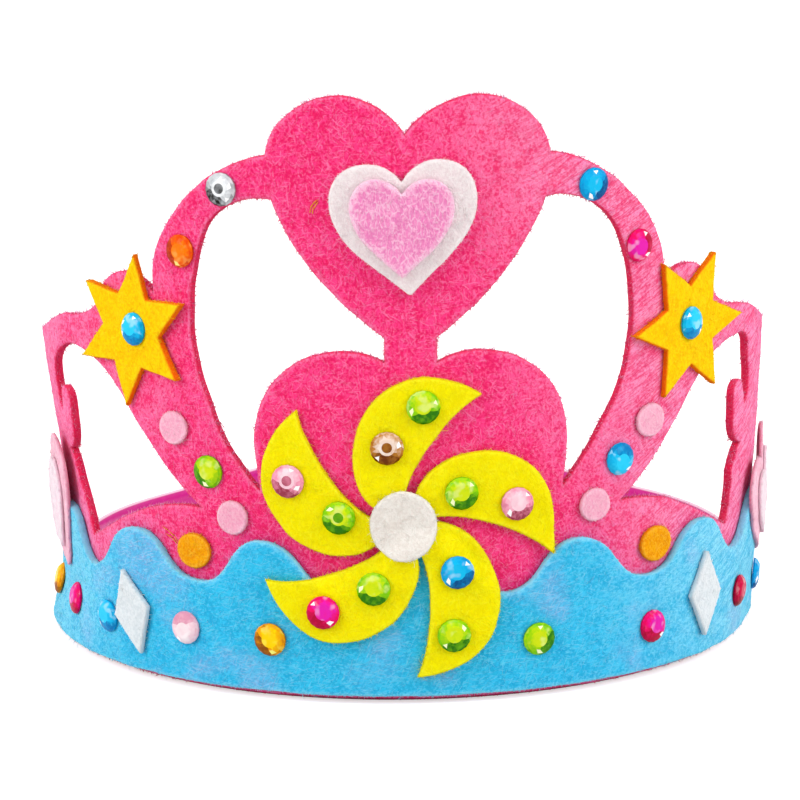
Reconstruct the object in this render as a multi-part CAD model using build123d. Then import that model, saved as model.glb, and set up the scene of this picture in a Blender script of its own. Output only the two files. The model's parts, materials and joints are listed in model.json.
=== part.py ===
from build123d import *
import math
import os

# Paper crown: a cut-out felt panel rolled round a plastic headband strip, with glued-on
# felt shapes and flat-backed acrylic gems. Millimetres, +Z up, the front faces -Y.
# The origin is in the middle of the footprint, on the surface that the strip stands on.

# Sheets and ring
RING_RADIUS = 88.0          # outside of the pink panel
SHEET = 2.2                 # felt of the panel and of the wavy band
TRIM = 1.6                  # felt of the glued-on shapes
GLUE = 0.2                  # film of glue between two layers

# Headband strip
STRIP_THICKNESS = 1.0
STRIP_HEIGHT = 18.0
STRIP_ARC_ANGLE = 130.0     # round from the middle of the front to here, straight behind
STRIP_TIP = 11.0            # length that passes the crossing at the back
STRIP_CORNER = 4.0
SLOT_CLEARANCE = 0.3        # free space round the other end in a slot

# Pink panel, laid flat: x from the middle of the front along the ring, y up
PANEL_BOTTOM = 1.0
STEM_HALF = 6.2
HIGH_HEART_HALF = 34.3
HIGH_HEART_NOTCH = 136.6
HIGH_HEART_SIDE = 131.2     # height at which the arch leaves the heart
HIGH_HEART_TIP = 88.2
ARCH_WIDTH = 10.6
ARCH_INSET = 1.3            # its inner edge meets the heart this far in
ARCH_REACH = 56.6           # inner edge of the arch where it stands upright
ARCH_BEND = 92.0            # height of that place
LOW_HEART_NOTCH = 82.3
LOW_HEART_HALF = 38.4
LOW_HEART_WIDEST = 62.5
CROTCH_X = 37.0             # where the low heart meets the leg
CROTCH_Y = 50.5
FINIAL_X = 76.6
FINIAL_Y = 86.0
FINIAL_RADIUS = 13.4
PANEL_END = 144.0           # the felt stops here, above each ear
PANEL_END_TOP = 74.0
SIDE_ARCH_X = 101.0         # top of the opening under the side arch
SIDE_ARCH_Y = 78.2
SIDE_NOTCH_X = 109.5        # between the side lobe and the upright of the side arch
SIDE_NOTCH_Y = 59.4
SIDE_WAIST_X = 108.3        # under the side lobe
SIDE_WAIST_Y = 49.8
SIDE_FOOT_X = 96.8          # the upright meets the band's edge of the panel
SIDE_FOOT_Y = 30.6
LEG_FOOT_X = 53.3
LEG_FOOT_Y = 44.8

# Blue band with the wavy top
BAND_BOTTOM = 2.2
WAVE_MIDDLE = 31.7
WAVE_RISE = 5.5
WAVE_PITCH = 39.3
WAVE_FLATNESS = 1.15        # 0 is a plain cosine; more flattens crests and troughs
BAND_SHIFT = 2.9            # glued on this far to the right

# Pinwheel
FAN_X = -2.2
FAN_Y = 44.0
FAN_ANGLE = 57.7            # direction of the first petal's tip
PETALS = 5
PETAL_LENGTH = 36.5
PETAL_SLIPS = ((0.0, -0.5), (1.3, -0.4), (0.0, -0.3), (0.0, 0.0), (-1.6, -0.7))  # by hand, x and y
DISC_DIAMETER = 16.2

# Hearts, stars, rhombi and dots
HEART_WIDTH = 34.8
HEART_HEIGHT = 32.0
INNER_HEART_WIDTH = 23.9
INNER_HEART_HEIGHT = 22.0
INNER_HEART_RISE = 5.0      # its tip above the tip of the heart under it
STAR_POINTS = 6
STAR_RADIUS = 19.4
STAR_INNER_RADIUS = 10.0
RHOMBUS_HEIGHT = 20.9
RHOMBUS_WIDTH = 13.0
PALE_DOT_DIAMETER = 8.0
ORANGE_DOT_DIAMETER = 8.6

# Gems
GEM_DIAMETER = 8.0
GEM_TABLE = 4.4
GEM_GIRDLE = 0.5
GEM_HEIGHT = 2.0
GEM_SIDES = 10

# Hand-placed hearts, their tips at (x along the ring, y up)
FRONT_HEART = (-1.4, 98.9)
LEFT_HEART = (-124.0, 18.5)
RIGHT_HEART = (127.5, 17.5)

# Hand-placed pieces: (x along the ring, y up, turn in degrees)
STARS = {"left": (-73.6, 85.7, 24.0), "right": (76.3, 85.0, 0.0)}
RHOMBI = {"left": (-73.3, 16.8, 18.0), "right": (79.9, 17.4, 3.0)}
PALE_DOTS = {
    "left_high": (-59.2, 63.7),
    "left_low": (-43.2, 43.8),
    "right_low": (44.5, 44.8),
    "right_high": (60.9, 63.9),
}

# The orange dots sit over troughs of the wave, a pitch and a half each side of its middle crest
ORANGE_DOTS = {
    "left": (BAND_SHIFT - 1.5 * WAVE_PITCH + 1.9, WAVE_MIDDLE - WAVE_RISE + 9.2),
    "right": (BAND_SHIFT + 1.5 * WAVE_PITCH + 1.8, WAVE_MIDDLE - WAVE_RISE + 7.1),
}

# Station spacing along a rolled edge, and how far a knife cut runs past the felt
STEP = 4.0
OVERCUT = 1.0

# Layers, from the head outwards
PANEL_INSIDE = RING_RADIUS - SHEET
STRIP_OUTSIDE = PANEL_INSIDE - GLUE
BAND_INSIDE = RING_RADIUS + GLUE
BAND_OUTSIDE = BAND_INSIDE + SHEET
ON_PANEL = RING_RADIUS + GLUE
ON_PANEL_TRIM = ON_PANEL + TRIM + GLUE
ON_BAND = BAND_OUTSIDE + GLUE
ON_BAND_TRIM = ON_BAND + TRIM + GLUE

END_ANGLE = PANEL_END / RING_RADIUS


def curve(start, end, *through):
    """A smooth flat edge; inner points are along and beside the chord, as its fractions."""
    dx, dy = end[0] - start[0], end[1] - start[1]
    points = [(start[0] + a * dx - b * dy, start[1] + a * dy + b * dx) for a, b in through]
    return Edge.make_spline([Vector(*p) for p in (start, *points, end)])


def straight(start, end):
    """A straight flat edge."""
    return Edge.make_line(Vector(*start), Vector(*end))


def mirrored(edges):
    """The same flat edges on the other side of the middle."""
    return [edge.mirror(Plane.YZ) for edge in edges]


def polygon(points):
    """Straight flat edges round a closed outline."""
    return [straight(a, b) for a, b in zip(points, points[1:] + points[:1])]


def turned(edges, angle):
    """Flat edges turned in their plane."""
    return [edge.rotate(Axis.Z, angle) for edge in edges]


def lifted(edges, y):
    """Flat edges moved up."""
    return [edge.translate((0, y, 0)) for edge in edges]


def bent(x, y, radius, turn, roll_radius):
    """A point of a flat pattern on the cylinder that the felt is rolled round."""
    angle = turn + x / roll_radius
    return Vector(radius * math.sin(angle), -radius * math.cos(angle), y)


def rolled(edge, radius, turn, roll_radius):
    """One edge of a flat pattern, bent round to a radius."""
    start, end = edge @ 0, edge @ 1
    is_line = edge.geom_type == GeomType.LINE
    if is_line and abs(start.X - end.X) < 1e-6:
        count = 1
    elif is_line and abs(start.Y - end.Y) < 1e-6:
        count = 2
    elif is_line:
        count = max(3, math.ceil(edge.length / STEP))
    else:
        count = max(6, math.ceil(edge.length / STEP))
    stations = [edge @ (i / count) for i in range(count + 1)]
    points = [bent(p.X, p.Y, radius, turn, roll_radius) for p in stations]
    if count == 1:
        return Edge.make_line(*points)
    if count == 2:
        return Edge.make_three_point_arc(*points)
    return Edge.make_spline(points)


def cut(piece, edges, inner, outer, turn, roll_radius):
    """The parts that radial cuts along a closed flat outline leave of a rolled blank."""
    walls = [
        Face.make_surface_from_curves(
            rolled(edge, inner - OVERCUT, turn, roll_radius),
            rolled(edge, outer + OVERCUT, turn, roll_radius),
        )
        for edge in edges
    ]
    return piece.split(Shell(Face.sew_faces(walls)[0]), keep=Keep.ALL)


def lowest(solid):
    return solid.bounding_box().min.Z


def rolled_felt(outline, inner, thickness, x=0.0, windows=()):
    """A felt shape cut flat, then rolled, its middle at x along the ring."""
    outer = inner + thickness
    turn = x / RING_RADIUS
    boxes = [edge.bounding_box() for edge in outline]
    left = turn + min(box.min.X for box in boxes) / outer - 0.05
    right = turn + max(box.max.X for box in boxes) / outer + 0.05
    bottom = min(box.min.Y for box in boxes) - OVERCUT
    top = max(box.max.Y for box in boxes) + OVERCUT
    corners = [(inner, bottom), (outer, bottom), (outer, top), (inner, top)]
    profile = Face(Wire.make_polygon([bent(0, z, r, left, 1) for r, z in corners]))
    blank = Solid.revolve(profile, math.degrees(right - left), Axis.Z)
    piece = max(cut(blank, outline, inner, outer, turn, outer), key=lowest)
    for window in windows:
        piece = min(cut(piece, window, inner, outer, turn, outer), key=lowest)
    return piece


def panel_side():
    """Flat edges of the right half of the panel: outline, then its two windows."""
    finial_start = math.radians(136)
    finial_end = math.radians(18)

    def on_finial(angle):
        return (
            FINIAL_X + FINIAL_RADIUS * math.cos(angle),
            FINIAL_Y + FINIAL_RADIUS * math.sin(angle),
        )

    heart_side = (HIGH_HEART_HALF, HIGH_HEART_SIDE)
    end_top = (PANEL_END, PANEL_END_TOP)
    notch = (SIDE_NOTCH_X, SIDE_NOTCH_Y)
    waist = (SIDE_WAIST_X, SIDE_WAIST_Y)
    foot = (SIDE_FOOT_X, SIDE_FOOT_Y)
    outline = [
        curve(
            (0, HIGH_HEART_NOTCH),
            heart_side,
            (0.153, 0.193),
            (0.444, 0.329),
            (0.775, 0.265),
            (0.951, 0.109),
        ),
        curve(
            heart_side,
            on_finial(finial_start),
            (0.128, 0.085),
            (0.417, 0.169),
            (0.711, 0.166),
            (0.91, 0.088),
        ),
        Edge.make_three_point_arc(
            Vector(*on_finial(finial_start)),
            Vector(*on_finial((finial_start + finial_end) / 2)),
            Vector(*on_finial(finial_end)),
        ),
        curve(
            on_finial(finial_end),
            end_top,
            (0.134, -0.027),
            (0.271, -0.009),
            (0.418, -0.013),
            (0.551, -0.027),
            (0.751, -0.023),
        ),
        straight(end_top, (PANEL_END, PANEL_BOTTOM)),
    ]

    arch_start = (HIGH_HEART_HALF - ARCH_INSET, HIGH_HEART_SIDE - ARCH_WIDTH)
    arch_bend = (ARCH_REACH, ARCH_BEND)
    crotch = (CROTCH_X, CROTCH_Y)
    low_side = (LOW_HEART_HALF, LOW_HEART_WIDEST)
    front_window = [
        curve(arch_start, arch_bend, (0.125, 0.135), (0.347, 0.238), (0.655, 0.197)),
        curve(arch_bend, crotch, (0.216, 0.078), (0.507, 0.1), (0.812, 0.056)),
        curve(crotch, low_side, (0.527, -0.014)),
        curve(
            low_side,
            (STEM_HALF, LOW_HEART_NOTCH),
            (0.154, -0.169),
            (0.435, -0.282),
            (0.761, -0.222),
            (0.938, -0.091),
        ),
        straight((STEM_HALF, LOW_HEART_NOTCH), (STEM_HALF, HIGH_HEART_TIP)),
        curve((STEM_HALF, HIGH_HEART_TIP), arch_start, (0.397, -0.066), (0.76, -0.057)),
    ]

    leg_foot = (LEG_FOOT_X, LEG_FOOT_Y)
    side_top = (SIDE_ARCH_X, SIDE_ARCH_Y)
    side_window = [
        curve(
            leg_foot,
            side_top,
            (0.144, 0.005),
            (0.317, 0.028),
            (0.522, 0.064),
            (0.704, 0.087),
            (0.875, 0.061),
        ),
        curve(
            side_top,
            notch,
            (0.12, 0.159),
            (0.307, 0.255),
            (0.531, 0.292),
            (0.787, 0.245),
            (0.933, 0.158),
        ),
        curve(
            notch,
            waist,
            (-0.358, -0.138),
            (-0.624, -0.338),
            (-0.635, -0.59),
            (-0.388, -0.726),
            (0.231, -0.68),
            (0.686, -0.571),
            (0.917, -0.333),
        ),
        curve(waist, foot, (0.159, -0.066), (0.425, -0.058), (0.71, -0.028)),
        curve(
            foot, leg_foot, (0.179, -0.019), (0.402, -0.048), (0.622, -0.066), (0.808, -0.052)
        ),
    ]
    return outline, front_window, side_window


def crown_panel():
    """The pink panel: hearts, arches and finials cut from one sheet, with four windows."""
    outline, front_window, side_window = panel_side()
    bottom = straight((-PANEL_END, PANEL_BOTTOM), (PANEL_END, PANEL_BOTTOM))
    windows = (front_window, side_window, mirrored(front_window), mirrored(side_window))
    edges = outline + mirrored(outline) + [bottom]
    return rolled_felt(edges, PANEL_INSIDE, SHEET, windows=windows)


def wave_band():
    """The blue band: straight at the bottom, a wave along the top."""
    half = END_ANGLE * BAND_OUTSIDE

    def wave(x):
        phase = 2 * math.pi * (x - BAND_SHIFT) / WAVE_PITCH
        flat = WAVE_FLATNESS
        return WAVE_MIDDLE + WAVE_RISE * math.tanh(flat * math.cos(phase)) / math.tanh(flat)

    def swell(start, end):
        xs = [start + (end - start) * i / 6 for i in range(7)]
        return Edge.make_spline([Vector(x, wave(x)) for x in xs])

    margin = WAVE_PITCH / 10
    turns = math.ceil(2 * half / WAVE_PITCH)
    inner = [BAND_SHIFT + WAVE_PITCH / 2 * k for k in range(-turns, turns + 1)]
    breaks = [-half, *(x for x in inner if abs(x) < half - margin), half]
    edges = [
        straight((-half, BAND_BOTTOM), (half, BAND_BOTTOM)),
        straight((half, BAND_BOTTOM), (half, wave(half))),
        *(swell(a, b) for a, b in zip(breaks, breaks[1:])),
        straight((-half, wave(-half)), (-half, BAND_BOTTOM)),
    ]
    return rolled_felt(edges, BAND_INSIDE, SHEET)


def headband_strip():
    """The plastic strip: round at the front, its slotted ends crossed at the back."""
    radius = STRIP_OUTSIDE - STRIP_THICKNESS / 2
    angle = math.radians(STRIP_ARC_ANGLE)
    reach = radius * math.sin(angle) / -math.cos(angle)
    profile = Face(Wire.make_polygon([
        bent(0, z, r, -angle, 1)
        for r, z in (
            (STRIP_OUTSIDE - STRIP_THICKNESS, 0),
            (STRIP_OUTSIDE, 0),
            (STRIP_OUTSIDE, STRIP_HEIGHT),
            (STRIP_OUTSIDE - STRIP_THICKNESS, STRIP_HEIGHT),
        )
    ]))
    strip = Solid.revolve(profile, 2 * STRIP_ARC_ANGLE, Axis.Z)

    def tangent(side):
        return Plane(
            origin=bent(0, 0, radius, side * angle, 1),
            x_dir=(side * math.cos(angle), math.sin(angle), 0),
            z_dir=(0, 0, 1),
        )

    def end(side):
        length = reach + STRIP_TIP
        plate = Pos(length / 2, 0, STRIP_HEIGHT / 2) * Box(length, STRIP_THICKNESS, STRIP_HEIGHT)
        tip = plate.edges().filter_by(Axis.Y).group_by(Axis.X)[-1]
        return tangent(side).location * fillet(tip, STRIP_CORNER)

    def slot(side, low, high):
        width = STRIP_THICKNESS + 2 * SLOT_CLEARANCE
        cutter = Pos(reach, 0, (low + high) / 2) * Box(3 * STRIP_TIP, width, high - low)
        return tangent(side).location * cutter

    middle = STRIP_HEIGHT / 2
    right, left = 1, -1
    right_end = end(right) - slot(left, -OVERCUT, middle + SLOT_CLEARANCE / 2)
    left_end = end(left) - slot(right, middle - SLOT_CLEARANCE / 2, STRIP_HEIGHT + OVERCUT)
    return strip + right_end + left_end


def petal():
    """Flat edges of one petal, pointing along +X, its root short of the origin."""
    size = PETAL_LENGTH
    concave = [(0.107, 0.062), (0.22, 0.112), (0.447, 0.137), (0.674, 0.118), (0.901, 0.063)]
    convex = [
        (0.0, 0.123),
        (0.016, 0.301),
        (0.121, 0.449),
        (0.362, 0.581),
        (0.611, 0.589),
        (0.83, 0.479),
        (0.967, 0.247),
    ]
    inner = [Vector(size * a, size * b) for a, b in concave]
    outer = [Vector(size * a, size * b) for a, b in convex]
    tip = Vector(size, size * 0.016)
    return [
        Edge.make_spline([*inner, tip]),
        Edge.make_spline([*outer, tip]),
        Edge.make_line(inner[0], outer[0]),
    ]


def heart(width, height):
    """Flat edges of a heart with its tip on the origin."""
    half = [
        (0.0, 0.0),
        (0.42, 0.205),
        (0.82, 0.43),
        (1.0, 0.68),
        (0.86, 0.92),
        (0.52, 1.0),
        (0.18, 0.95),
        (0.0, 0.84),
    ]
    side = Edge.make_spline([Vector(a * width / 2, b * height) for a, b in half])
    return [side, *mirrored([side])]


def star():
    """Flat edges of the pointed star."""
    step = math.pi / STAR_POINTS
    radii = (STAR_RADIUS, STAR_INNER_RADIUS)
    return polygon([
        (radii[i % 2] * math.cos(i * step), radii[i % 2] * math.sin(i * step))
        for i in range(2 * STAR_POINTS)
    ])


def rhombus():
    """Flat edges of the rhombus."""
    x, y = RHOMBUS_WIDTH / 2, RHOMBUS_HEIGHT / 2
    return polygon([(0, y), (-x, 0), (0, -y), (x, 0)])


def dot(diameter):
    """Flat edges of a round dot."""
    r = diameter / 2
    return [
        Edge.make_three_point_arc(Vector(r, 0), Vector(0, r), Vector(-r, 0)),
        Edge.make_three_point_arc(Vector(-r, 0), Vector(0, -r), Vector(r, 0)),
    ]


def gem():
    """A flat-backed faceted gem, its back on the XY plane."""
    step = 2 * math.pi / GEM_SIDES

    def ring(radius, z, shift):
        return [
            Vector(radius * math.cos((i + shift) * step), radius * math.sin((i + shift) * step), z)
            for i in range(GEM_SIDES)
        ]

    def facet(*corners):
        return Face(Wire.make_polygon(corners))

    back = ring(GEM_DIAMETER / 2, 0, 0)
    girdle = ring(GEM_DIAMETER / 2, GEM_GIRDLE, 0)
    table = ring(GEM_TABLE / 2, GEM_HEIGHT, 0.5)
    faces = [facet(*back), facet(*table)]
    for i in range(GEM_SIDES):
        j = (i + 1) % GEM_SIDES
        faces.append(facet(back[i], back[j], girdle[j], girdle[i]))
        faces.append(facet(girdle[i], girdle[j], table[i]))
        faces.append(facet(girdle[j], table[j], table[i]))
    return Solid(Shell(faces))


def seated_gem(x, y, radius):
    """A gem with its flat back just off the outside of the layer below."""
    angle = x / RING_RADIUS
    seat = Plane(
        origin=bent(0, y, radius, angle, 1),
        x_dir=(math.cos(angle), math.sin(angle), 0),
        z_dir=(math.sin(angle), -math.cos(angle), 0),
    )
    return seat.location * GEM


parts = {
    "headband_strip": headband_strip(),
    "crown_panel": crown_panel(),
    "wave_band": wave_band(),
}

# Pinwheel: the two petals beside the low heart lie on the panel, the others on the band
PETAL_NAMES = ("top", "right", "low_right", "low_left", "left")
PETAL_LAYERS = (ON_PANEL, ON_BAND, ON_BAND, ON_BAND, ON_PANEL)
for index in range(PETALS):
    slip_x, slip_y = PETAL_SLIPS[index]
    edges = lifted(turned(petal(), FAN_ANGLE - 360 / PETALS * index), FAN_Y + slip_y)
    name = f"petal_{PETAL_NAMES[index]}"
    parts[name] = rolled_felt(edges, PETAL_LAYERS[index], TRIM, FAN_X + slip_x)
parts["pinwheel_disc"] = rolled_felt(lifted(dot(DISC_DIAMETER), FAN_Y), ON_BAND_TRIM, TRIM, FAN_X)

# Hearts: a pair on the high heart and a pair above each ear, where the big one is the pink
big, small = heart(HEART_WIDTH, HEART_HEIGHT), heart(INNER_HEART_WIDTH, INNER_HEART_HEIGHT)
for place, (x, tip), layer, top_layer, under, over in (
    ("front", FRONT_HEART, ON_PANEL, ON_PANEL_TRIM, "white", "pink"),
    ("left", LEFT_HEART, ON_BAND, ON_BAND_TRIM, "pink", "white"),
    ("right", RIGHT_HEART, ON_BAND, ON_BAND_TRIM, "pink", "white"),
):
    inner_edges = lifted(small, tip + INNER_HEART_RISE)
    parts[f"{under}_heart_{place}"] = rolled_felt(lifted(big, tip), layer, TRIM, x)
    parts[f"{over}_heart_{place}"] = rolled_felt(inner_edges, top_layer, TRIM, x)

for side, (x, y, angle) in STARS.items():
    parts[f"star_{side}"] = rolled_felt(lifted(turned(star(), angle), y), ON_PANEL, TRIM, x)
for side, (x, y, angle) in RHOMBI.items():
    parts[f"rhombus_{side}"] = rolled_felt(lifted(turned(rhombus(), angle), y), ON_BAND, TRIM, x)
for side, (x, y) in PALE_DOTS.items():
    parts[f"pale_dot_{side}"] = rolled_felt(lifted(dot(PALE_DOT_DIAMETER), y), ON_PANEL, TRIM, x)
for side, (x, y) in ORANGE_DOTS.items():
    edges = lifted(dot(ORANGE_DOT_DIAMETER), y)
    parts[f"orange_dot_{side}"] = rolled_felt(edges, ON_PANEL, TRIM, x)

# Gems, by the layer that each is glued to: (x along the ring, y up)
GEM = gem()
GEMS = {
    ON_PANEL: {
        "arch_left_high": (-44.8, 122.6),
        "arch_left_low": (-56.3, 106.9),
        "arch_right_high": (45.9, 122.1),
        "arch_right_low": (58.1, 106.2),
        "leg_left": (-50.8, 53.9),
        "leg_right": (53.0, 55.1),
    },
    ON_PANEL_TRIM: {
        "star_left": (-71.6, 86.4),
        "star_right": (75.6, 85.1),
        "petal_top_outer": (2.7, 72.1),
        "petal_top_inner": (-5.8, 62.4),
        "petal_left_outer": (-29.2, 53.8),
        "petal_left_inner": (-17.2, 45.5),
    },
    ON_BAND: {
        "band_left_1": (-34.0, 15.1),
        "band_left_2": (-55.7, 15.4),
        "band_left_3": (-82.8, 13.4),
        "band_left_4": (-102.0, 13.0),
        "band_left_5": (-126.0, 12.8),
        "band_right_1": (29.5, 14.6),
        "band_right_2": (61.1, 12.9),
        "band_right_3": (100.8, 12.9),
        "band_right_4": (124.0, 11.4),
    },
    ON_BAND_TRIM: {
        "petal_right_inner": (11.4, 51.2),
        "petal_right_outer": (24.6, 47.8),
        "petal_low_right_inner": (9.9, 32.7),
        "petal_low_right_outer": (9.0, 17.4),
        "petal_low_left_inner": (-9.1, 29.0),
        "petal_low_left_outer": (-20.7, 23.0),
    },
}
for layer, places in GEMS.items():
    for place, (x, y) in places.items():
        parts[f"gem_{place}"] = seated_gem(x, y, layer)

# The origin goes to the middle of the footprint, at the bottom
box = Compound(list(parts.values())).bounding_box()
to_origin = Pos(-box.center().X, -box.center().Y, -box.min.Z)

os.makedirs("parts", exist_ok=True)
for name, part in parts.items():
    part = to_origin * part
    part.label = name
    export_step(part, f"parts/{name}.step")
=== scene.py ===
# %% [markdown]
# # A felt crown, dressed for the camera
#
# The imported CAD model gives every piece its place. It is loaded first, and its box is
# kept.

import bpy
import bmesh
import json
import math
import numpy as np
from mathutils import Matrix, Vector, noise
from mathutils.geometry import delaunay_2d_cdt
from mathutils.kdtree import KDTree


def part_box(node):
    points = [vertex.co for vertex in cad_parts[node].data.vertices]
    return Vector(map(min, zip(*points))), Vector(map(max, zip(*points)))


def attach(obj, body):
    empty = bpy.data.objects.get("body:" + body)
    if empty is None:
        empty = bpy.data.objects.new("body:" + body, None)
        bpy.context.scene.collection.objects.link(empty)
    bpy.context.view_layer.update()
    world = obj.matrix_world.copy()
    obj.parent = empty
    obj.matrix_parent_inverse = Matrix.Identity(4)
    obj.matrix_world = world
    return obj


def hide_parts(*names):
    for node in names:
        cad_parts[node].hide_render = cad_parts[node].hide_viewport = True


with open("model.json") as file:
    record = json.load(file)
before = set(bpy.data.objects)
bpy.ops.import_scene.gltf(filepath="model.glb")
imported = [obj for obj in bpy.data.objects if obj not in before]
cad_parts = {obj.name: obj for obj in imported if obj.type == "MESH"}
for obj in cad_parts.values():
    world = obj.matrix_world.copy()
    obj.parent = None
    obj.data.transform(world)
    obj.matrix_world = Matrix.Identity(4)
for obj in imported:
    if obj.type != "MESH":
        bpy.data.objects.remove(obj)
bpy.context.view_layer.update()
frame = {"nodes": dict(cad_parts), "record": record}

# %% [markdown]
# ## The camera
#
# The crown was seen from a little above, with a long lens, from about a metre away.
# A camera can be aimed with a Track To constraint, but its roll and its exact aim are
# easier to keep when the three axes of its matrix are worked out from the angles.

# %% Set up the camera
MM = 0.001
RING_AXIS = np.array([-0.0276, -23.51])     # mm, middle of the front part of the ring
SENSOR_WIDTH, PICTURE_WIDTH = 36, 800       # mm and pixels


def add_object(name, data):
    """A new object of the scene that shows a mesh, a lamp or a camera."""
    thing = bpy.data.objects.new(name, data)
    bpy.context.scene.collection.objects.link(thing)
    return thing


def direction(azimuth, elevation):
    """Unit vector away from the crown; degrees round from the front, and up."""
    a, e = math.radians(azimuth), math.radians(elevation)
    return Vector((math.sin(a) * math.cos(e), -math.cos(a) * math.cos(e), math.sin(e)))


def placed(place, right, up, out):
    """Matrix that turns x, y and z to three directions and moves the origin to a place."""
    return Matrix.Translation(place) @ Matrix((right, up, out)).transposed().to_4x4()


def set_up_camera(azimuth, elevation, roll, distance, target, focal_pixels):
    """Camera round the target; angles in degrees, lengths in mm, focal length in pixels."""
    a, r = math.radians(azimuth), math.radians(roll)
    back = direction(azimuth, elevation)
    level = Vector((math.cos(a), math.sin(a), 0))
    upright = back.cross(level)
    right = math.cos(r) * level + math.sin(r) * upright
    up = math.cos(r) * upright - math.sin(r) * level
    data = bpy.data.cameras.new("camera")
    data.sensor_width = SENSOR_WIDTH
    data.lens = SENSOR_WIDTH * focal_pixels / PICTURE_WIDTH
    data.clip_start, data.clip_end = 0.05, 20
    camera = add_object("camera", data)
    camera.matrix_world = placed((Vector(target) + back * distance) * MM, right, up, back)
    bpy.context.scene.camera = camera
    return camera


camera = set_up_camera(-1.295, 12.0, -0.69, 1100, (-0.68, -23.52, 54.82), 4318)
print("camera at", tuple(round(c, 3) for c in camera.matrix_world.translation))

# %% [markdown]
# ## Bending flat shapes round the head
#
# Every felt shape was cut flat and then bent round. So each one is meshed flat, with x
# along the ring and h up, and a function puts it in place. The crown in the photograph
# was also pressed a little out of round by hand: at the sides it pinches in above the
# table and leans out at the top. One function holds that, and all layers share it, so
# they stay on each other.

# %% Functions that place flat points on the ring
ROLL = 88.0                                 # mm, radius that x is measured on
# Radii in mm of the seats on the panel, on a shape glued to it, on the band and on its shapes
ON_PANEL, ON_SHAPE, ON_BAND, ON_BAND_SHAPE = 88.2, 90.0, 90.6, 92.4
BAND_FACE, BAND_STEP = 90.4, 2.4            # mm, radius of its front, and how far it raises shapes
# The band's wavy edge: a crest's place, the pitch, middle height and rise in mm, and flatness
BAND_SHIFT, WAVE_PITCH, WAVE_MIDDLE, WAVE_RISE, WAVE_FLATNESS = 2.9, 39.3, 31.7, 5.5, 1.15
# The bend at each side, in mm: heights, and how far the ring stands out there
LEFT_LEAN = ([0, 6, 14, 22, 45, 60, 78], [0.2, -1.2, -2.9, -3.3, -1.2, 0.8, 3.2])
RIGHT_LEAN = ([0, 12, 30, 50, 78], [-1.9, -1.3, 0.2, 1.8, 3.3])


def smooth(value, low, high):
    """0 below low, 1 above high, smooth between them."""
    t = np.clip((value - low) / (high - low), 0, 1)
    return t * t * (3 - 2 * t)


def cloud(x, h, size, seed):
    """Smooth noise from -1 to 1 with patches of about that size, in mm."""
    return np.array([noise.noise((a / size, b / size, seed)) for a, b in zip(x, h)])


def hand_bend(x, h):
    """How far the ring is pressed out of round at a place, in mm."""
    side = smooth(np.abs(x), 80, 118)
    left = np.interp(h, *LEFT_LEAN)
    right = np.interp(h, *RIGHT_LEAN)
    return side * np.where(x < 0, left, right)


def over_band(x, h):
    """Height of the step that a shape climbs where it lies on the wavy band, in mm."""
    phase = 2 * math.pi * (x * BAND_FACE / ROLL - BAND_SHIFT) / WAVE_PITCH
    swing = np.tanh(WAVE_FLATNESS * np.cos(phase)) / math.tanh(WAVE_FLATNESS)
    top = WAVE_MIDDLE + WAVE_RISE * swing
    return BAND_STEP * (1 - smooth(h - top, 0.5, 7))


def in_room(east, south, h):
    """Points in metres of places that are given in mm from the axis of the ring."""
    return np.stack([RING_AXIS[0] + east, RING_AXIS[1] - south, h], axis=-1) * MM


def on_ring(x, h, radius):
    """Points in metres of places on the ring, x along it and h up, at a radius in mm."""
    x, h, radius = (np.asarray(v, float) for v in (x, h, radius))
    angle = x / ROLL
    out = radius + hand_bend(x, h)
    return in_room(out * np.sin(angle), out * np.cos(angle), h)


# %% [markdown]
# ## A felt shape as a mesh
#
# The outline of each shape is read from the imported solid: the edges round its outer
# faces. The scissors missed the drawn line here and there, so the outline is shifted a
# little where they did. A constrained Delaunay triangulation fills it with an even net,
# which bends smoothly where a plain n-gon would crease. The same net makes the back, and
# three rows of points between them make a cut edge that is slightly rounded.

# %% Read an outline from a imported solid
OUTER_SKIN = 0.2                            # mm, how deep the outer faces of a solid may lie
SHARP = math.radians(30)                    # a turn that counts as a corner
FINE = 0.25                                 # mm, step of an outline whose corners are rounded


def outlines(node):
    """Closed outlines of a packed felt shape, laid flat, in mm. The inside is on the left."""
    mesh = frame["nodes"][node].data
    points = np.array([v.co for v in mesh.vertices]) / MM
    points, place = np.unique(points.round(3), axis=0, return_inverse=True)
    place = place.ravel()
    east, south = points[:, 0] - RING_AXIS[0], RING_AXIS[1] - points[:, 1]
    radius = np.hypot(east, south)
    flat = np.stack([np.arctan2(east, south) * ROLL, points[:, 2]], axis=-1)
    outside = radius > radius.max() - OUTER_SKIN
    after = {}
    edges = set()
    for face in mesh.polygons:
        corners = [int(place[i]) for i in face.vertices]
        if len(set(corners)) == len(corners) and all(outside[c] for c in corners):
            edges.update(zip(corners, corners[1:] + corners[:1]))
    for a, b in edges:
        if (b, a) not in edges:
            after[a] = b
    loops = []
    while after:
        start, here = after.popitem()
        loop = [start]
        while here != start:
            loop.append(here)
            here = after.pop(here)
        loops.append(flat[loop])
    return loops


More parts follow.
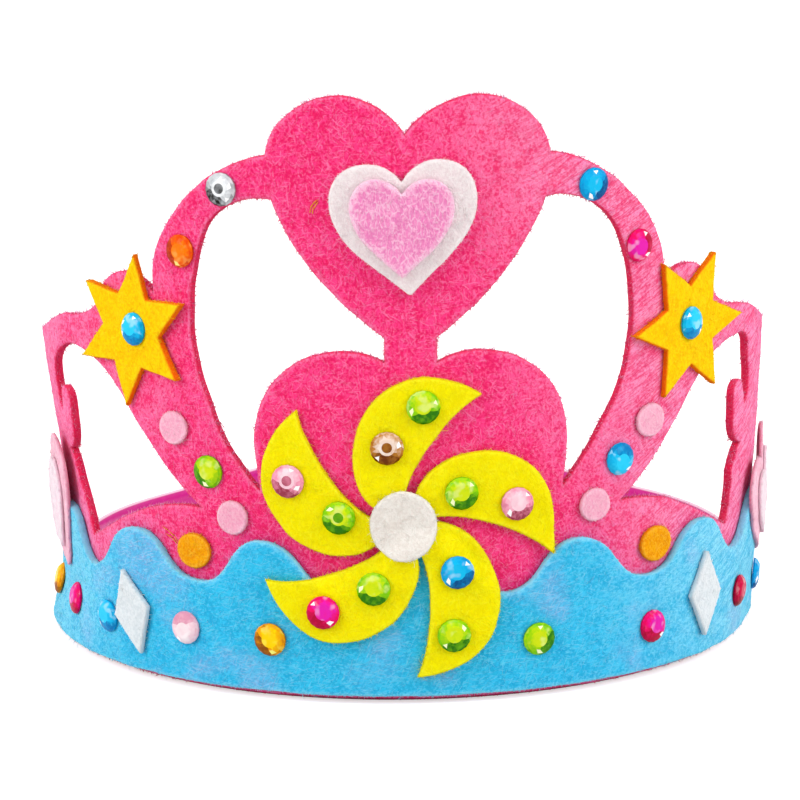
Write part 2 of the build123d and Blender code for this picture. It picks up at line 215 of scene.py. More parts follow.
def evenly(loop, step):
    """The outline with points about a step apart, its sharp corners kept."""
    before, after = loop - np.roll(loop, 1, 0), np.roll(loop, -1, 0) - loop
    turn = np.arctan2(
        before[:, 0] * after[:, 1] - before[:, 1] * after[:, 0], (before * after).sum(1)
    )
    corners = np.flatnonzero(np.abs(turn) > SHARP)
    if len(corners) == 0:
        corners = np.array([0])
    loop = np.roll(loop, -corners[0], 0)
    corners = list(corners - corners[0]) + [len(loop)]
    loop = np.vstack([loop, loop[:1]])
    pieces = []
    for a, b in zip(corners, corners[1:]):
        run = loop[a : b + 1]
        along = np.concatenate([[0], np.cumsum(np.hypot(*np.diff(run, axis=0).T))])
        count = max(2, round(along[-1] / step))
        at = np.linspace(0, along[-1], count + 1)[:-1]
        pieces.append(np.stack([np.interp(at, along, run[:, i]) for i in (0, 1)], axis=-1))
    return np.vstack(pieces)


# %% Let the scissors miss the line
# The wave of the band: places along the ring, and mm to the right or up
BAND_ASIDE = (
    [-93, -74, -55, -35, 0, 41, 60, 79, 98],
    [0.8, -0.3, 2.1, -1, 0, -0.8, 0, 2.2, -0.5],
)
BAND_UP = (
    [-110, -92, -74, -52, -37, 0, 22, 41, 60, 81, 98, 110],
    [-1.4, -1.4, 0, 1.1, 1.5, 0.5, 0.2, 0.5, -0.5, -1.7, -1.4, -1.4],
)
# The hearts above the ears were glued on askew: mm aside and up, and a turn in radians
ASKEW = {"heart_left": (3.2, -1.4, 0.5), "heart_right": (-0.6, -3.0, 0.36)}
# Dots cut a little wide: mm aside and up, and the share by which they are wider
WIDE = {
    "orange_dot_left": (-0.9, -1.2, 0.14),
    "orange_dot_right": (0.4, -0.7, 0.22),
    "pale_dot_left_high": (-1.3, -0.1, 0.06),
    "pale_dot_left_low": (-0.8, -0.3, 0.04),
    "pale_dot_right_high": (1.4, -0.6, 0.15),
    "pale_dot_right_low": (0.8, 0.2, 0.06),
}


def cut_by_hand(node, x, h):
    """How far a packed outline was missed by the scissors at each point, in mm."""
    if node == "wave_band":
        wavy = smooth(h, 14, 25)
        return wavy * np.interp(x, *BAND_ASIDE), wavy * np.interp(x, *BAND_UP)
    if node == "crown_panel":
        lobes = smooth(np.abs(x), 95, 103) * smooth(h, 36, 43) * (1 - smooth(h, 71, 78))
        arches = smooth(h, 62, 72) * (1 - smooth(h, 100, 126))
        left_arch = arches * smooth(x, -66, -58) * (1 - smooth(x, -46, -36))
        right_arch = arches * smooth(x, 44, 52) * (1 - smooth(x, 66, 74))
        notch = np.exp(-((x / 6) ** 2)) * smooth(h, 126, 133)
        aside = 1.3 * left_arch + 0.9 * right_arch - 3.2 * lobes - 0.9 * notch
        return aside, -0.45 * smooth(h, 112, 130)
    x, h = x - np.ptp(x) / 2 - x.min(), h - np.ptp(h) / 2 - h.min()
    if node == "star_left":
        return 0.015 * x, 0.05 * x - 0.035 * h
    if node == "star_right":
        return 0.045 * x - 0.1, -0.035 * h - 0.55
    if node == "white_heart_front":
        return 0.4 - 0.06 * h, 0.06 * x - 0.02 * h - 0.7
    if node == "pink_heart_front":
        return 0.03 * x - 0.3, 0.06 * h - 0.45
    if node == "rhombus_right":
        return 0.1 * h, -0.1 * x
    if node in WIDE:
        aside, up, more = WIDE[node]
        return aside + more * x, up + 0 * h
    aside, up, turn = ASKEW.get(node.split("_", 1)[1], (0, 0, 0))
    cos, sin = math.cos(turn) - 1, math.sin(turn)
    return aside + x * cos - h * sin, up + x * sin + h * cos


def blunt(loop, width):
    """The outline with its corners rounded over about that width, in mm."""
    loop = evenly(loop, FINE)
    reach = round(width / FINE)
    weights = np.hanning(2 * reach + 1)
    around = [np.roll(loop, shift, 0) * w for shift, w in zip(range(-reach, reach + 1), weights)]
    return sum(around) / weights.sum()


loops = outlines("crown_panel")
print("the panel has", len(loops), "outlines of", [len(loop) for loop in loops], "points")

# %% Fill outlines with an even net
ROW_SHARE = 0.866                           # height of an equal-sided triangle of side 1
FREE_SHARE = 0.65                           # of the spacing, kept free along the outline


def from_edge(spots, loops):
    """Distance of each flat point from the nearest outline point, in mm."""
    border = np.vstack(loops)
    tree = KDTree(len(border))
    for i, (x, h) in enumerate(border):
        tree.insert((x, h, 0), i)
    tree.balance()
    return np.array([tree.find((x, h, 0))[2] for x, h in spots])


def is_inside(points, loops):
    """Which flat points lie in the felt, inside the outline and outside its windows."""
    inside = np.zeros(len(points), bool)
    px, py = points.T
    for loop in loops:
        for (x0, y0), (x1, y1) in zip(loop, np.roll(loop, -1, 0)):
            if y0 != y1:
                crossed = (y0 > py) != (y1 > py)
                inside ^= crossed & (px < (x1 - x0) * (py - y0) / (y1 - y0) + x0)
    return inside


def net(loops, spacing):
    """Points, triangles and outline indices of an even net that fills the outlines."""
    border = np.vstack(loops)
    low, high = border.min(0), border.max(0)
    rows = np.arange(low[1], high[1], spacing * ROW_SHARE)
    columns = np.arange(low[0], high[0], spacing)
    grid = np.array([
        (x + spacing / 2 * (j % 2), y) for j, y in enumerate(rows) for x in columns
    ])
    grid = grid[from_edge(grid, loops) > FREE_SHARE * spacing]
    grid = grid[is_inside(grid, loops)]
    points = np.vstack([border, grid])
    edges, first = [], 0
    for loop in loops:
        n = len(loop)
        edges += [(first + i, first + (i + 1) % n) for i in range(n)]
        first += n
    made = delaunay_2d_cdt([Vector(p) for p in points], edges, [], 0, 1e-7)
    spots = np.array([tuple(v) for v in made[0]])
    new = {old: i for i, olds in enumerate(made[3]) for old in olds}
    triangles = np.array(made[2])
    middles = spots[triangles].mean(1)
    on_border = np.array([any(o < len(border) for o in olds) for olds in made[3]])
    check = on_border[triangles].all(1)
    keep = ~check
    keep[check] = is_inside(middles[check], loops)
    triangles = triangles[keep]
    a, b, c = (spots[triangles[:, i]] for i in range(3))
    area = (b - a)[:, 0] * (c - a)[:, 1] - (b - a)[:, 1] * (c - a)[:, 0]
    triangles[area < 0] = triangles[area < 0][:, ::-1]
    rings, first = [], 0
    for loop in loops:
        rings.append(np.array([new[first + i] for i in range(len(loop))]))
        first += len(loop)
    return spots, triangles, rings


# %% [markdown]
# ## Fuzz
#
# Cut felt frays: short hairs stand out of every edge, and longer ones lie loose on its
# front. Hair curves would be quick to add, but an exported model loses them. So each
# hair is a thin closed sliver with three sides, and it belongs to the mesh of its sheet.

# %% Make hairs and threads
THIRDS = (0, 2.094, 4.189)                  # radians, where the three corners of a hair lie
LOWEST_HAIR = 0.5                           # mm above the table


def hairs(root, tip, bow, width, rings):
    """Closed three-sided hairs from root to tip, their middles pushed aside by bow, in mm."""
    chord = tip - root
    side = np.cross(chord, (0.3, 0.5, 0.81))
    side /= np.linalg.norm(side, axis=1, keepdims=True)
    other = np.cross(chord, side)
    other /= np.linalg.norm(other, axis=1, keepdims=True)
    points = []
    for t in np.arange(rings) / rings:
        middle = root + chord * t + bow * 4 * t * (1 - t)
        for turn in THIRDS:
            around = math.cos(turn) * side + math.sin(turn) * other
            points.append(middle + around * width * (1 - 0.6 * t))
    points.append(tip)
    size = len(points)
    faces = [(2, 1, 0)]
    for a in range(0, 3 * (rings - 1), 3):
        faces += [(a + k, a + (k + 1) % 3, a + 3 + (k + 1) % 3, a + 3 + k) for k in range(3)]
    last = size - 4
    faces += [(last + k, last + (k + 1) % 3, size - 1) for k in range(3)]
    points = np.stack(points, axis=1).reshape(-1, 3)
    return points, [
        tuple(first + i for i in face) for first in range(0, len(points), size) for face in faces
    ]


def edge_fuzz(draw, loops, thickness, per_mm, least, extra, width):
    """Short hairs that stick out of the cut edges, and how far each points up."""
    starts = np.vstack(loops)
    ends = np.vstack([np.roll(loop, -1, 0) for loop in loops])
    along = ends - starts
    length = np.hypot(*along.T)
    count = int(length.sum() * per_mm)
    pick = draw.choice(len(starts), count, p=length / length.sum())
    where = starts[pick] + along[pick] * draw.random((count, 1))
    forward = along[pick] / length[pick][:, None]
    out = np.stack([forward[:, 1], -forward[:, 0]], axis=-1)
    reach = least + draw.exponential(extra, (count, 1)).clip(0, 4 * extra)
    lean = draw.normal(0, 0.7, (count, 1))
    depth = thickness * draw.random((count, 1))
    root = np.hstack([where - 0.1 * out, depth])
    aside = out * reach + forward * lean * reach
    tip = root + np.hstack([aside, draw.normal(0, 0.4, (count, 1)) * reach])
    tip[:, 1] = tip[:, 1].clip(LOWEST_HAIR)
    points, faces = hairs(root, tip, np.zeros((count, 3)), width, 1)
    return points, faces, out[:, 1]


def stray_hairs(draw, spots, triangles, thickness, per_square_mm):
    """Longer hairs that lie loose on the front of the felt."""
    corners = spots[triangles]
    a, b = corners[:, 1] - corners[:, 0], corners[:, 2] - corners[:, 0]
    area = np.abs(a[:, 0] * b[:, 1] - a[:, 1] * b[:, 0]) / 2
    count = int(area.sum() * per_square_mm)
    pick = draw.choice(len(triangles), count, p=area / area.sum())
    where = corners[pick].mean(1)
    turn = draw.uniform(0, 2 * math.pi, count)
    reach = draw.uniform(0.8, 2.6, count)
    step = np.stack([np.cos(turn), np.sin(turn)], axis=-1) * reach[:, None]
    root = np.column_stack([where, np.full(count, thickness - 0.05)])
    tip = np.column_stack([where + step, thickness + draw.uniform(-0.05, 0.12, count)])
    tip[:, 1] = tip[:, 1].clip(LOWEST_HAIR)
    aside = draw.normal(0, 0.22, (count, 2)) * reach[:, None]
    bow = np.column_stack([aside, draw.uniform(0.06, 0.2, count)])
    points, faces = hairs(root, tip, bow, 0.05, 3)
    return points, faces, draw.uniform(-1, 1, count)


def threads(chains, level):
    """Loose curled threads, each a chain of short closed hairs between flat points, in mm."""
    chains = [np.column_stack([chain, np.full(len(chain), level)]) for chain in chains]
    root, tip = (np.vstack([c[a : len(c) - 1 + a] for c in chains]) for a in (0, 1))
    return hairs(root, tip + (tip - root) * 0.25, np.zeros_like(root), 0.17, 2)


def fuzz_parts(seed, loops, spots, triangles, thickness, tufts):
    """Short hairs, longer tufts and stray hairs, with their rim and fuzz values."""
    draw = np.random.default_rng(seed)
    for (points, faces, lift), at_rim in (
        (edge_fuzz(draw, loops, thickness, 3.5, 0.25, 0.25, 0.06), 1),
        (edge_fuzz(draw, loops, thickness, 2.6, 0.32 * tufts, 0.18 * tufts, 0.15), 1),
        (stray_hairs(draw, spots, triangles, thickness, 0.13), 0),
    ):
        # Painted light and shade: edge hairs that point up are paler, as lit, and the others keep
        # more of the cut edge's darker shade; stray hairs get a random paleness
        shades = (0.35 + 0.45 * lift + draw.uniform(-0.3, 0.3, len(lift))).clip(0, 1)
        yield points, faces, at_rim, np.repeat(shades, len(points) // len(lift))


# %% Turn a net into a soft sheet with a cut edge
EDGE_BULGE = 0.05                           # mm, how far the middle of a cut edge stands out
FRONT_RIM = 0.12                            # share of the cut edge's shade at the front's border


def inward(spots, rings):
    """Unit direction from each outline point into the sheet."""
    into = np.zeros_like(spots)
    for ring in rings:
        p = spots[ring]
        along = np.roll(p, -1, 0) - np.roll(p, 1, 0)
        along /= np.maximum(np.hypot(*along.T)[:, None], 1e-9)
        into[ring] = np.stack([-along[:, 1], along[:, 0]], axis=-1)
    return into


def closed_sheet(spots, triangles, rings, thickness, edge):
    """Points in mm, faces and rim values of a flat sheet with a rounded cut edge."""
    into, count = inward(spots, rings), len(spots)
    points = [np.column_stack([spots + edge * into, np.full(count, z)]) for z in (thickness, 0)]
    rim = [np.isin(np.arange(count), np.concatenate(rings)) * FRONT_RIM] * 2
    faces = [tuple(t) for t in triangles] + [tuple(t[::-1] + count) for t in triangles]
    first = 2 * count
    for ring in rings:
        n = len(ring)
        rows = [ring]
        for z, bulge in ((thickness - edge, 0), (thickness / 2, EDGE_BULGE), (edge, 0)):
            rows.append(first + np.arange(n))
            points.append(np.column_stack([spots[ring] - bulge * into[ring], np.full(n, z)]))
            rim.append(np.ones(n))
            first += n
        rows.append(ring + count)
        for upper, lower in zip(rows, rows[1:]):
            faces += [
                (upper[i], lower[i], lower[(i + 1) % n], upper[(i + 1) % n]) for i in range(n)
            ]
    return np.vstack(points), faces, np.concatenate(rim)


def give(mesh, name, values, kind="FLOAT"):
    """Store a number or a vector for each point, which a material reads by its name."""
    values = np.asarray(values, np.float32).ravel()
    attribute = mesh.attributes.new(name, kind, "POINT")
    attribute.data.foreach_set("value" if kind == "FLOAT" else "vector", values)


def sheet_piece(
    name, loops, thickness, spacing, edge, place, wobble=0.0, seed=0.0, tufts=None, loose=()
):
    """A sheet cut to the outlines. place(x, h, z) puts flat points in the room.

    wobble is how far the cut wanders, in mm, and tufts how long its fuzz is. loose are
    threads that lie on its front and take the second material.
    """
    loops = [evenly(loop, spacing * 0.75) for loop in loops]
    if wobble:
        loops = [
            loop + wobble * np.stack([cloud(*loop.T, 6, seed), cloud(*loop.T, 6, seed + 7)], -1)
            for loop in loops
        ]
    spots, triangles, rings = net(loops, spacing)
    parts = [(*closed_sheet(spots, triangles, rings, thickness, edge), 0)]
    if tufts:
        parts += fuzz_parts(int(100 + seed), loops, spots, triangles, thickness, tufts)
    own_faces = sum(len(part[1]) for part in parts)
    if loose:
        parts.append((*threads(loose, thickness + 0.2), 0, 0))
    faces, first = [], 0
    for more, closed, _, _ in parts:
        faces += [tuple(first + int(i) for i in face) for face in closed]
        first += len(more)
    points = np.vstack([part[0] for part in parts])
    rim, fuzz = (
        np.concatenate([np.broadcast_to(part[i], len(part[0])) for part in parts]) for i in (2, 3)
    )
    margin = np.zeros(len(points))
    margin[: 2 * len(spots)] = np.tile(from_edge(spots, loops), 2)
    mesh = bpy.data.meshes.new(name)
    mesh.from_pydata(place(*points.T).tolist(), [], faces)
    give(mesh, "fuzz", fuzz)
    give(mesh, "margin", margin)
    give(mesh, "pattern", points + (17.3 * seed, 9.1 * seed, 0), "FLOAT_VECTOR")
    give(mesh, "rim", rim)
    mesh.polygons.foreach_set("material_index", np.arange(len(faces)) >= own_faces)
    mesh.shade_smooth()
    return add_object(name, mesh)


# %% [markdown]
# ## Shader expressions
#
# A felt or a gem needs a dozen noise and mix nodes. Wiring them one link at a time hides
# what they compute, so a small class wraps a socket and lets Python's own operators add
# the Math nodes.

# %% Node expressions


class Value:
    """One socket of a node tree; arithmetic on it adds Math nodes."""

    def __init__(self, nodes, socket):
        self.nodes, self.socket = nodes, socket

    def math(self, operation, first, second):
        return self.nodes.node("ShaderNodeMath", {"operation": operation}, {0: first, 1: second})

    def __add__(self, other):
        return self.math("ADD", self, other)

    def __mul__(self, other):
        return self.math("MULTIPLY", self, other)

    def __sub__(self, other):
        return self.math("SUBTRACT", self, other)

    def __rsub__(self, other):
        return self.math("SUBTRACT", other, self)

    __radd__, __rmul__ = __add__, __mul__

    def larger(self, other):
        return self.math("MAXIMUM", self, other)

    def between(self, low, high):
        """0 below low, 1 above high, smooth between them."""
        settings = {"interpolation_type": "SMOOTHSTEP"}
        values = {"Value": self, "From Min": low, "From Max": high}
        return self.nodes.node("ShaderNodeMapRange", settings, values)


class Nodes:
    """The nodes of a material or a world, made by expressions."""

    def __init__(self, owner):
        owner.use_nodes = True
        self.tree = owner.node_tree

    def plug(self, socket, value):
        if isinstance(value, Value):
            self.tree.links.new(value.socket, socket)
        else:
            socket.default_value = value

    def node(self, kind, settings=None, values=None, output=0):
        """A node of that kind; settings are set first, then values or links of its sockets."""
        node = self.tree.nodes.new(kind)
        for key, value in (settings or {}).items():
            if key == "stops":
                ramp = node.color_ramp
                while len(ramp.elements) < len(value):
                    ramp.elements.new(1)
                for element, (position, colour) in zip(ramp.elements, value):
                    element.position, element.color = position, colour
            else:
                setattr(node, key, value)
        for key, value in (values or {}).items():
            self.plug(node.inputs[key], value)
        return Value(self, node.outputs[output])

    def attribute(self, name, output="Vector"):
        return self.node("ShaderNodeAttribute", {"attribute_name": name}, output=output)

    def mix(self, amount, first, second):
        """A colour between two, the second where amount is 1."""
        return self.node(
            "ShaderNodeMix", {"data_type": "RGBA"}, {0: amount, 6: first, 7: second}, output=2
        )

    def noise(self, place, scale, detail=2, roughness=0.5, output=0):
        values = {"Vector": place, "Scale": scale, "Detail": detail, "Roughness": roughness}
        return self.node("ShaderNodeTexNoise", values=values, output=output)

    def scaled(self, vector, factor):
        """A vector times a number."""
        values = {0: vector, "Scale": factor}
        return self.node("ShaderNodeVectorMath", {"operation": "SCALE"}, values)

    def vector(self, operation, first, second):
        return self.node("ShaderNodeVectorMath", {"operation": operation}, {0: first, 1: second})

    def seen_directly(self):
        """1 for rays from the camera, off a mirror or through a clear thing, else 0."""
        camera, glossy, through = (
            self.node("ShaderNodeLightPath", output=f"Is {kind} Ray")
            for kind in ("Camera", "Glossy", "Transmission")
        )
        return camera.larger(glossy).larger(through)


class Paint(Nodes):
    """The nodes of a new material."""

    def __init__(self, name):
        self.material = bpy.data.materials.new(name)
        super().__init__(self.material)

    def finish(self, sockets):
        """Plug values into the sockets of the shader, and return the material."""
        shader = self.tree.nodes["Principled BSDF"]
        for key, value in sockets.items():
            self.plug(shader.inputs[key], value)
        return self.material


def colour(hex_code):
    """A colour as it is seen on the screen, as linear numbers with alpha."""
    parts = [int(hex_code[i : i + 2], 16) / 255 for i in (0, 2, 4)]
    linear = [p / 12.92 if p <= 0.04045 else ((p + 0.055) / 1.055) ** 2.4 for p in parts]
    return (*linear, 1)


# %% [markdown]
# ## Felt
#
# Needle felt is a mat of crimped fibres. Seen close, it is a mottled colour under paler
# hairs that lie in every direction. A single noise looks like plaster. Here each layer
# of hairs is a noise that is stretched along one direction and warped by another noise,
# and the brightest of four layers shows. Felt also tells how it was handled: it goes
# paler along its cut edges, and the panel and band are combed towards their ends. There,
# and wherever the felt turns away from the camera, it is also painted paler: a painted
# sheen of the lamps on its loose hairs. On the small front heart the hairs cross like a
# net, which the edges between Voronoi cells give.

# %% Make the felts


def felt(
    name, deep, base, pale, edge_tint_and_light, glow, hair, directions=(8, 52, 97, 141), lint=None,
    sheen_and_combing=None, netted=False, curl=1.7,
):
    """Felt in a deep, a middle and a pale shade, its cut edge in another, which is partly
    painted shade on the pink felt and painted bounce light from the pink on the amber felt.

    glow says how deep red, green and blue light get into it, and hair how much its pale
    hairs show. lint is the colour of loose fibres of another felt, and worn the two places
    along the ring between which the felt is combed and painted paler, a painted sheen where
    the side lamps catch it, which also pales the other end of the ring. netted felt has
    hairs that cross. curl is how far its hairs wander, in mm.
    """
    paint = Paint(name)
    place = paint.attribute("pattern")
    rim, fuzz = paint.attribute("rim", "Fac"), paint.attribute("fuzz", "Fac")
    margin = paint.attribute("margin", "Fac")
    drift = paint.noise(place, 0.26, 2, output=1)
    bent = paint.vector("ADD", place, paint.scaled(drift, curl))

    def strands(angles, scale, low, high, at=bent):
        """Crimped hairs: the brightest of some stretched noises."""
        brightest = None
        for angle in angles:
            turned = paint.node(
                "ShaderNodeMapping",
                {"vector_type": "TEXTURE"},
                {"Vector": at, "Rotation": (0, 0, math.radians(angle)), "Scale": scale},
            )
            layer = paint.noise(turned, 1.0, 1, 0.5).between(low, high)
            brightest = layer if brightest is None else brightest.larger(layer)
        return brightest

    upper = strands(directions, (3.4, 0.34, 1), 0.56, 0.74)
    lower = strands([a + 23 for a in directions[1:3]], (2.2, 0.4, 1), 0.53, 0.68)
    if netted:
        cells = paint.node(
            "ShaderNodeTexVoronoi",
            {"feature": "DISTANCE_TO_EDGE"},
            {"Vector": paint.vector("MULTIPLY", bent, (1.0, 0.45, 1.0)), "Scale": 1.0},
        )
        upper = (upper * 0.6).larger(1 - cells.between(0.02, 0.12))
    grain = paint.noise(place, 1.6, 2, 0.6)
    mottle = paint.noise(place, 0.2, 4, 0.65)
    density = grain * 0.64 + mottle * 0.36
    # Painted sheen: paler where the felt turns away from the camera
    grazing = paint.node("ShaderNodeLayerWeight", values={"Blend": 0.5}, output=1)
    sheen_and_pale_edge = grazing.between(0.3, 0.8) * 0.7
    # Painted sheen near both ends of the ring, where the side lamps catch the hairs; between the
    # places given by worn the felt is also combed
    if sheen_and_combing:
        along, up = (
            paint.node("ShaderNodeSeparateXYZ", values={0: place}, output=i) for i in (0, 1)
        )
        lit_and_combed_zone = (along + up * 0.35).between(*sheen_and_combing)
        sheen_and_pale_edge = sheen_and_pale_edge.larger(lit_and_combed_zone * (0.5 + mottle * 0.8))
        sheen_and_pale_edge = sheen_and_pale_edge.larger((0 - along).between(*sheen_and_combing) * mottle * 0.9)
        straight = paint.vector("ADD", place, paint.scaled(drift, 0.5))
        combed = strands((20, 30), (4.6, 0.4, 1), 0.52, 0.62, straight)
        lower = (lower * (1 - lit_and_combed_zone * 0.6)).larger(combed * lit_and_combed_zone * 1.1)
    narrow, wide, paler = (0.3, 1.9, 0.8) if netted else (0.0, 1.5, 0.5)
    sheen_and_pale_edge = sheen_and_pale_edge.larger((1 - margin.between(narrow, wide)) * paler)
    ground = paint.mix(sheen_and_pale_edge, colour(base), colour(pale))
    ground = paint.mix(lower * 0.6, ground, colour(deep))
    ground = paint.mix((1 - density.between(0.4, 0.54)) * (0.9 - sheen_and_pale_edge * 0.5), ground, colour(deep))
    if lint:
        patch = paint.noise(place, 0.045, 2).between(0.52, 0.66)
        ground = paint.mix(patch * (0.1 + upper * 0.22), ground, colour(lint))
    soft = paint.mix(upper * density.between(0.34, 0.56) * hair, ground, colour(pale))
    # The cut edge's colour: partly painted shade on the pink felt, painted bounce light from the
    # pink panel on the amber stars
    cut = paint.mix(rim * 0.85, soft, colour(edge_tint_and_light))
    # Hairs go pale by their fuzz value, which on the edge hairs is painted light and shade
    shade = paint.mix(fuzz, cut, colour(pale))
    height = upper * 0.7 - lower * 0.4 + grain * 0.5 + mottle * 0.3
    bump = paint.node(
        "ShaderNodeBump", values={"Strength": 0.6, "Distance": 0.0002, "Height": height}
    )
    return paint.finish({
        "Base Color": shade,
        "Roughness": 0.95,
        "Specular IOR Level": 0.06,
        "Subsurface Weight": 0.3,
        "Subsurface Radius": glow,
        "Subsurface Scale": 0.0016,
        "Sheen Weight": 0.12,
        "Sheen Roughness": 0.6,
        "Sheen Tint": colour(pale),
        "Normal": bump,
    })


COMBED = (3, -16, 24, 66)                   # degrees, hairs that lie mostly along the band
UPRIGHT = (70, 86, 99, 116)
RED_GLOW, CYAN_GLOW, GOLD_GLOW = (1.0, 0.1, 0.2), (0.1, 0.6, 1.0), (1.0, 0.6, 0.05)
PALE_GLOW = (1.0, 0.8, 0.8)
# The deep, middle and pale shades of each felt, that of its cut edge (partly painted shade
# on the pink, painted bounce light from the pink on the amber), its glow and its hair
FELT_SHADES = {
    "pink_felt": ("E8145E", "F83E86", "FA9AC4", "E41048", RED_GLOW, 0.5),
    "blue_felt": ("20AADA", "36C2EC", "92DEF6", "8AD8F2", CYAN_GLOW, 0.38),
    "yellow_felt": ("ECDC00", "F4E600", "F8F430", "DCC800", GOLD_GLOW, 0.35),
    "amber_felt": ("F6B800", "FFCE00", "FFDC20", "EC4608", GOLD_GLOW, 0.45),
    "orange_felt": ("EA8E00", "F4A600", "FAC040", "E07A00", GOLD_GLOW, 0.5),
    "white_felt": ("DCD4CC", "E7E1DA", "F0ECE6", "E2DCD6", PALE_GLOW, 0.5),
    "warm_white_felt": ("E6D6D8", "EEE3E3", "F6F0EF", "EEE4E4", PALE_GLOW, 0.5),
    "rosy_white_felt": ("F4CCDC", "F8DEE8", "FBECF1", "F6D6E2", PALE_GLOW, 0.5),
    "cool_white_felt": ("D2DADE", "DFE5E8", "EAEEF0", "DCE3E6", PALE_GLOW, 0.5),
    "pale_pink_felt": ("E47CB4", "F08CC0", "FBD2E4", "F8CCDE", PALE_GLOW, 0.68),
    "dot_felt": ("F09CBA", "F6B0C6", "FBD0DC", "EEA2BA", PALE_GLOW, 0.5),
}
# What else sets some of them apart
HANDLING = {
    "pink_felt": {"sheen_and_combing": (40, 92)},
    "blue_felt": {"directions": COMBED, "lint": "D9A6E0", "sheen_and_combing": (60, 125), "curl": 1.1},
    "pale_pink_felt": {"directions": UPRIGHT, "netted": True},
}
FELTS = {
    name: felt(name, *shades, **HANDLING.get(name, {}))
    for name, shades in FELT_SHADES.items()
}
print("felts:", ", ".join(FELTS))

# %% [markdown]
# ## The panel, the band and the glued shapes
#
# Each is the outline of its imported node, cut from felt of the right thickness and laid
# on the layer below. Shapes on the wavy band climb over its edge. The stars are stiff
# and nearly flat, so their points stand clear of the ring, as their shadows show.

# %% Cut the panel and the band
PANEL_BACK, SHEET = 85.8, 2.2               # mm, radius of the panel's back, thickness of both
TRIM, DOT, FLANK = 1.6, 1.1, 0.95           # mm, thickness of shapes, dots and the flank hearts
GLUE = 0.2                                  # mm
SAG_REACH = 88.1                            # mm, radius to which the back of a shape can sag
SMALLEST_SHEET = 0.01                       # m, least width and height, compared with each shape's flat size to no effect


def flat_size(loops):
    """Width, height and area of a flat shape, in metres."""
    span = np.ptp(loops[0], axis=0) * MM
    area = sum((x * np.roll(y, -1) - y * np.roll(x, -1)).sum() / 2 for x, y in (p.T for p in loops))
    return (float(span[0]), float(span[1])), float(abs(area)) * MM * MM


def felt_piece(
    node, felt_name, inner, thickness, name=None, spacing=0.7, seed=0.0, sag=0.0,
    tufts=0.6, loose=(),
):
    """A felt shape that replaces a node. inner(x, h) is the radius that its back lies on.

    sag is how much of that lift the back loses, where a shape stands off at its points.
    """
    name = name or "felt_" + node

    def place(x, h, z):
        lumps = 0.10 * cloud(x, h, 2.2, seed + 3) + 0.16 * cloud(x, h, 9, seed + 5)
        base = inner(x, h)
        drop = sag * (base - SAG_REACH) * (1 - z / thickness) if sag else 0
        return on_ring(x, h, base + z - drop + lumps * np.clip(z, 0, 1))

    packed = outlines(node)
    packed.sort(key=lambda loop: -np.ptp(loop[:, 0]))
    cut = [loop + np.stack(cut_by_hand(node, *loop.T), axis=-1) for loop in packed]
    if "heart" in node:
        cut = [blunt(loop, 1.6) for loop in cut]
    piece = sheet_piece(name, cut, thickness, spacing, 0.3, place, 0.18, seed, tufts, loose)
    piece.data.materials.append(FELTS[felt_name])
    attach(piece, "root")
    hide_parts(node)
    flat, area = flat_size(packed)
    min(flat) >= SMALLEST_SHEET
    size = " x ".join(f"{side / MM:.1f}" for side in flat)
    piece.data.calc_loop_triangles()
    count = len(piece.data.loop_triangles)
    print(f"{name}: {size} mm flat, {area / MM / MM:.0f} mm2, {count} triangles")
    return piece


def constant(radius):
    """The same radius everywhere."""
    return lambda x, h: np.full(np.shape(x), radius)


slot_of = {row["node"]: row["material_slot"] for row in frame["record"]["subparts"]}
# Snips of orange felt that cling to the panel, as chains of flat points in mm
LOOSE_THREADS = (
    [(-23.2, 117.8), (-23.0, 119.1), (-22.4, 119.9), (-21.3, 120.9)],
    [(-22.6, 117.6), (-22.5, 118.6), (-21.7, 119.7), (-21.2, 120.4)],
    [(-60.6, 35.6), (-61.7, 36.8), (-63.6, 37.9), (-65.1, 38.5)],
    [(-60.8, 35.0), (-62.4, 36.2), (-64.2, 36.9)],
)
panel = felt_piece(
    "crown_panel", "pink_felt", constant(PANEL_BACK), SHEET, "felt_panel",
    spacing=1.25, tufts=1.4, loose=LOOSE_THREADS,
)
panel.data.materials.append(FELTS["orange_felt"])
felt_piece(
    "wave_band", "blue_felt", constant(ON_PANEL), SHEET, "felt_band",
    spacing=1.1, seed=1.0,
)

# %% Cut the glued shapes
FLANK_SEAT, FLANK_GLUE = 90.45, 0.05        # mm, radius under the hearts above the ears
STRAIGHT_FROM = 30                          # mm up, where those hearts begin to stand straight


def trim_level(layer):
    """The radius under a glued shape: on the panel or band, or one layer higher."""
    return lambda x, h: ON_PANEL + over_band(x, h) + layer * (TRIM + GLUE)


def flank_level(layer):
    """The same for the hearts above the ears, which stand straighter than the panel."""

    def level(x, h):
        lean = hand_bend(x, h) - hand_bend(x, np.minimum(h, STRAIGHT_FROM))
        undone = lean * np.where(x < 0, 0.25, 1.0)
        return FLANK_SEAT - undone + layer * (FLANK + FLANK_GLUE)

    return level


def star_level(middle, left, right):
    """A stiff star keeps nearly flat, so its points stand off the ring at either side."""

    def level(x, h):
        return ON_PANEL + np.where(x < middle, left, right) * (x - middle) ** 2 / (2 * ROLL)

    return level


def middle_of(node):
    return float(np.vstack(outlines(node))[:, 0].mean())


for i, side in enumerate(("top", "right", "low_right", "low_left", "left")):
    felt_piece(
        f"petal_{side}", "yellow_felt", trim_level(0), TRIM, seed=2.0 + i
    )
felt_piece(
    "pinwheel_disc", "white_felt", trim_level(1), TRIM, "felt_disc", seed=8.0
)
